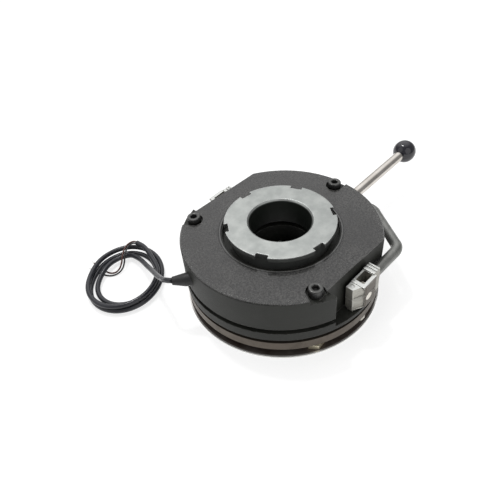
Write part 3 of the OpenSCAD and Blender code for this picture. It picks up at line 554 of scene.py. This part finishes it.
def cast_yoke():
    """Die-cast alloy: satin grey skin with flow marks and small pits, the tops of the blocks painted bright as
    lit faces, the sides painted browner as shade, painted shade in the corners, edges painted bright, partly
    wear and partly highlight, and duller round arms."""
    block_dark, block_light, painted_yoke_side_shade = (0.30, 0.29, 0.26), (0.50, 0.49, 0.44), (0.115, 0.10, 0.082)
    arm_dark, arm_light, pit = (0.17, 0.172, 0.163), (0.27, 0.272, 0.26), (0.10, 0.10, 0.09)
    painted_top_light, worn_edge_and_highlight, painted_corner_shade = (0.66, 0.67, 0.655), (0.80, 0.80, 0.77), (0.050, 0.062, 0.056)
    f = Finish("cast_yoke")
    at = f.place()
    x, y, z = f.parts(at)
    skin = f.noise(at, 780.0, rough=0.6)
    flow = f.noise(f.stretch(at, (0.6, 1.0, 1.6)), 75.0, detail=4.0, rough=0.6, distort=0.8)
    pits = f.cells(at, 640.0).ease(0.20, 0.05)
    arms = x.ease(*BLOCKS_TO_ARMS)
    side = (f.facing(1, -1) + f.facing(1, 1)) * y.size().ease(*BLOCK_FACE) * (1 - arms) * x.ease(*BLOCK_END)
    lit_block_top = f.facing(2, 1) * (1 - arms) * z.ease(*BLOCK_TOP)
    near_edge, rounded = f.edge(0.7 * MM)
    block = f.blend(flow.ease(0.30, 0.70), block_dark, block_light)
    arm = f.blend(flow.ease(0.30, 0.70), arm_dark, arm_light)
    # Painted shade: the sides of the blocks painted darker brown.
    tone = f.blend(arms, f.blend(side, block, painted_yoke_side_shade), arm)
    tone = f.blend(pits * 0.35, tone, pit)
    # Painted light: the tops of the blocks painted bright.
    tone = f.blend(lit_block_top * 0.85, tone, painted_top_light)
    # Edges painted bright, partly wear and partly highlight.
    tone = f.blend(near_edge * 0.75, tone, worn_edge_and_highlight)
    # Painted shade: darker where the occlusion mask finds a corner.
    tone = f.blend(f.hollow(3 * MM).ease(0.36, 0.80) * 0.75, tone, painted_corner_shade)
    return f.surface(Base_Color=tone, Metallic=0.70 - near_edge * 0.4,
                     Roughness=0.32 + flow * 0.14 + skin * 0.06,
                     Normal=f.bump(skin * 0.8 + flow * 0.8 - pits * 0.5, 0.09 * MM, 0.9, rounded))


def bright_rod():
    """Polished steel rod: lines across its length, faint long scratches."""
    steel_dark, steel_light = (0.55, 0.515, 0.475), (0.68, 0.645, 0.605)
    f = Finish("bright_rod")
    at = f.place()
    across = f.noise(f.vector(f.parts(at)[0] * 4200.0, 0.0, 0.0), 1.0, detail=2.0)
    scratch = f.noise(f.stretch(at, (18.0, 900.0, 900.0)), 1.0)
    cloud = f.noise(at, 55.0)
    _, rounded = f.edge(0.8 * MM)
    return f.surface(Base_Color=f.blend(cloud.ease(0.3, 0.7), steel_dark, steel_light), Metallic=1.0,
                     Roughness=0.13 + across * 0.06 + scratch * 0.06,
                     Normal=f.bump(across * 0.5 + scratch * 0.5, 0.012 * MM, 0.6, rounded))


def gloss_ball():
    """Moulded black plastic ball: a faint parting line, soft ripples and hairline scratches."""
    black_plastic, scratched = (0.019, 0.018, 0.025), (0.045, 0.044, 0.052)
    f = Finish("gloss_ball")
    at = f.place()
    seam = (f.parts(at)[2] - BALL_Z).size().ease(0.16 * MM, 0.0)
    ripple = f.noise(at, 140.0, detail=2.0)
    hair = f.noise(f.stretch(at, (60.0, 900.0, 400.0)), 1.0).ease(0.60, 0.72)
    return f.surface(Base_Color=f.blend(hair * 0.3, black_plastic, scratched),
                     Roughness=0.07 + hair * 0.10 + ripple * 0.04, Coat_Weight=0.25, Coat_Roughness=0.06,
                     Normal=f.bump(ripple * 0.4 + seam * 0.4, 0.04 * MM, 0.3))


def dark_oxide():
    """Black oxide on high tensile screws: oily satin, worn grey in patches, the chamfers and the knurl's crests
    painted bright, partly wear and partly highlight, the tops painted greyer as lit faces, and painted shade in
    the socket and other hollows.
    """
    oxide, worn_grey, painted_top_highlight = (0.050, 0.050, 0.050), (0.13, 0.128, 0.12), (0.13, 0.13, 0.125)
    worn_edge_and_highlight, painted_hollow_shade = (0.42, 0.415, 0.40), (0.003, 0.003, 0.003)
    f = Finish("dark_oxide")
    at = f.place()
    grain = f.noise(at, 1500.0)
    wear = f.noise(at, 240.0, detail=4.0, rough=0.65).ease(0.50, 0.72)
    near_edge, rounded = f.edge(0.35 * MM)
    tone = f.blend(wear * 0.5, oxide, worn_grey)
    # Painted highlight: top faces painted greyer.
    tone = f.blend(f.facing(2, 1) * 0.5, tone, painted_top_highlight)
    # Edges painted bright, partly wear and partly highlight.
    tone = f.blend(near_edge * 0.8, tone, worn_edge_and_highlight)
    # Painted shade: near black deep in the socket and other hollows.
    tone = f.blend(f.hollow(4 * MM).ease(0.45, 0.75) * 0.9, tone, painted_hollow_shade)
    return f.surface(Base_Color=tone, Metallic=0.55 - near_edge * 0.3,
                     Roughness=0.24 + grain * 0.12 + wear * 0.06,
                     Normal=f.bump(grain, 0.03 * MM, 0.6, rounded))


def sheath(name, tone, dull, rough):
    """Extruded plastic: faint lines along the length, a fine grain and dusty scuffs. Reads its own map."""
    f = Finish(name)
    at = f.place()
    round_share, down, _ = f.parts(f.along())
    lines = f.noise(f.vector(round_share * 26.0, down * 30.0, 0.0), 1.0, detail=2.0)
    grain = f.noise(at, 1700.0, detail=2.0)
    scuff = f.noise(at, 130.0, detail=4.0, rough=0.7).ease(0.52, 0.74)
    return f.surface(Base_Color=f.blend(scuff * 0.5, tone, dull),
                     Roughness=rough + scuff * 0.12 + grain * 0.06,
                     Normal=f.bump(lines * 0.7 + grain * 0.3, 0.05 * MM, 0.6))


def moulded(name, tone, dull, rough):
    """Moulded rubber or plastic: fine grain and paler scuffs."""
    f = Finish(name)
    at = f.place()
    grain = f.noise(at, 1500.0)
    scuff = f.noise(at, 150.0, detail=4.0, rough=0.7).ease(0.50, 0.75)
    return f.surface(Base_Color=f.blend(scuff * 0.5, tone, dull), Roughness=rough + grain * 0.10,
                     Normal=f.bump(grain, 0.04 * MM, 0.6))


def friction_lining():
    """Pressed friction lining: dark binder with metal and mineral specks."""
    binder_dark, binder_light, speck = (0.040, 0.024, 0.018), (0.090, 0.056, 0.042), (0.26, 0.20, 0.13)
    f = Finish("friction_lining")
    at = f.place()
    specks = f.cells(at, 900.0).ease(0.24, 0.10)
    grain = f.noise(at, 620.0, detail=4.0, rough=0.7)
    tone = f.blend(grain.ease(0.35, 0.65), binder_dark, binder_light)
    return f.surface(Base_Color=f.blend(specks * 0.6, tone, speck), Roughness=0.80 + grain * 0.12,
                     Normal=f.bump(grain, 0.06 * MM, 0.8))


# Bare metals: tone, stain, roughness, share of metal, share of stains, pieces
BARE_METALS = {
    "armature_steel": ((0.125, 0.105, 0.085), (0.055, 0.042, 0.032), 0.34, 0.80, 0.5, ["armature_plate"]),
    "pin_steel": ((0.50, 0.50, 0.49), (0.25, 0.24, 0.22), 0.28, 0.95, 0.5, ["thrust_pins"]),
    "tinned_wire": ((0.90, 0.89, 0.87), (0.60, 0.58, 0.55), 0.30, 0.60, 0.5, [brown_wires, black_wires]),
    "turned_pin": ((0.88, 0.84, 0.76), (0.60, 0.55, 0.46), 0.24, 0.60, 0.2, ["trunnion_pins"]),
    "spring_steel": ((0.26, 0.26, 0.27), (0.10, 0.09, 0.08), 0.32, 0.95, 0.5,
                     ["pressure_springs", "release_springs"]),
    "carrier_aluminium": ((0.60, 0.61, 0.62), (0.38, 0.38, 0.37), 0.34, 0.95, 0.5, ["rotor_carrier"]),
    "hub_steel": ((0.42, 0.42, 0.43), (0.20, 0.17, 0.15), 0.28, 0.95, 0.5, ["splined_hub"]),
    "sleeve_zinc": ((0.80, 0.74, 0.56), (0.46, 0.40, 0.27), 0.24, 0.70, 0.5, ["sleeve_bolts"]),
    "bolt_zinc": ((0.62, 0.60, 0.54), (0.36, 0.33, 0.27), 0.26, 0.95, 0.5, ["release_bolts", "lock_nuts"]),
    "copper_wire": ((0.62, 0.28, 0.14), (0.30, 0.12, 0.06), 0.30, 0.95, 0.5, ["coil_winding"]),
}
for metal_name, (*look, pieces) in BARE_METALS.items():
    give(ground_steel(metal_name, *look), *pieces)

give(painted_casting(), "magnet_housing")
give(turned_ring(), "adjuster_ring")
give(stained_plate(), "friction_plate")
give(friction_lining(), "upper_lining", "lower_lining")
give(dark_oxide(), "cap_screws", screws)
give(cast_yoke(), "release_yoke")
give(bright_rod(), "lever_rod")
give(gloss_ball(), "ball_knob")
give(moulded("gland_rubber", (0.014, 0.014, 0.015), (0.045, 0.045, 0.045), 0.48), "cable_gland")
give(moulded("coil_resin", (0.050, 0.038, 0.028), (0.09, 0.08, 0.065), 0.40), "coil_resin")
give(sheath("cable_black", (0.020, 0.021, 0.027), (0.050, 0.052, 0.060), 0.26), cable)
give(sheath("core_brown_plastic", (0.085, 0.030, 0.020), (0.13, 0.07, 0.05), 0.36), brown)
give(sheath("core_black_plastic", (0.020, 0.019, 0.019), (0.05, 0.045, 0.042), 0.36), black)


# Studio
WHITE = (1.0, 1.0, 1.0)
PAPER, GLOW = 0.50, 0.68
FLOOR_HALF, FLOOR_Z = 6.0, -0.2 * MM
SCREEN_TURN, SCREEN_LIFT = np.radians([54.0, 56.0])
SCREEN_SPREAD, DIM, BRIGHT = (0.58, 0.97), 0.30, 1.30
LAMP_AIM_Z = 0.04
FLOOR_CORNERS = (-1, -1), (1, -1), (1, 1), (-1, 1)


def towards(turn, lift):
    """The direction from the brake at a turn about the vertical and a lift above the floor."""
    return np.array([np.cos(lift) * np.cos(turn), np.cos(lift) * np.sin(turn), np.sin(lift)])


def studio_floor():
    """Plain floor: pale paper to the light, with a glow added for the camera and for reflections."""
    f = Finish("studio_floor")
    direct, mirrored, through = f.add("ShaderNodeLightPath",
                                      output=("Is Camera Ray", "Is Glossy Ray", "Is Transmission Ray"))
    seen = direct.larger(mirrored).larger(through)
    paper = f.add("ShaderNodeBsdfDiffuse", None, {"Color": colour((PAPER, PAPER, PAPER))})
    glow = f.add("ShaderNodeEmission", None, {"Color": colour(WHITE), "Strength": GLOW})
    both = f.add("ShaderNodeAddShader", None, (paper, glow))
    return f.show(f.add("ShaderNodeMixShader", None, (seen, paper, both)))


def studio_walls():
    """The room's light: dim all round, bright towards one large screen, which fades smoothly at its border.
    The camera sees plain white instead."""
    screen = tuple(float(part) for part in towards(SCREEN_TURN, SCREEN_LIFT))
    f = Finish("studio", "worlds", "ShaderNodeOutputWorld")
    nearness = f.dot(f.add("ShaderNodeTexCoord", output="Generated"), screen)
    seen = f.add("ShaderNodeLightPath", output="Is Camera Ray")
    glow = seen + (1 - seen) * nearness.ease(*SCREEN_SPREAD, DIM, BRIGHT)
    return f.show(f.add("ShaderNodeBackground", None, {"Color": colour(WHITE), "Strength": glow}))


def lamp(name, turn, lift, far, size, power):
    """A round soft lamp that looks at the object from a turn and lift in degrees, far metres away."""
    data = bpy.data.lights.new(name, "AREA")
    data.shape = "DISK"
    data.size = size
    data.energy = power
    turn, lift = np.radians([turn, lift])
    back = towards(turn, lift)
    right = np.array([-np.sin(turn), np.cos(turn), 0.0])
    place = far * back + np.array([0, 0, LAMP_AIM_Z])
    stand(name, data).matrix_world = posed(right, np.cross(back, right), back, place)


floor_mesh = bpy.data.meshes.new("floor")
floor_points = [(x * FLOOR_HALF, y * FLOOR_HALF, FLOOR_Z) for x, y in FLOOR_CORNERS]
floor_mesh.from_pydata(floor_points, [], [(0, 1, 2, 3)])
floor = stand("floor", floor_mesh)
give(studio_floor(), floor)
bpy.context.scene.world = studio_walls()
lamp("key_lamp", turn=80, lift=69, far=1.4, size=0.14, power=4.6)
lamp("right_softbox", turn=-100, lift=32, far=1.3, size=1.5, power=4.2)
lamp("back_softbox", turn=150, lift=35, far=1.4, size=1.4, power=2.6)
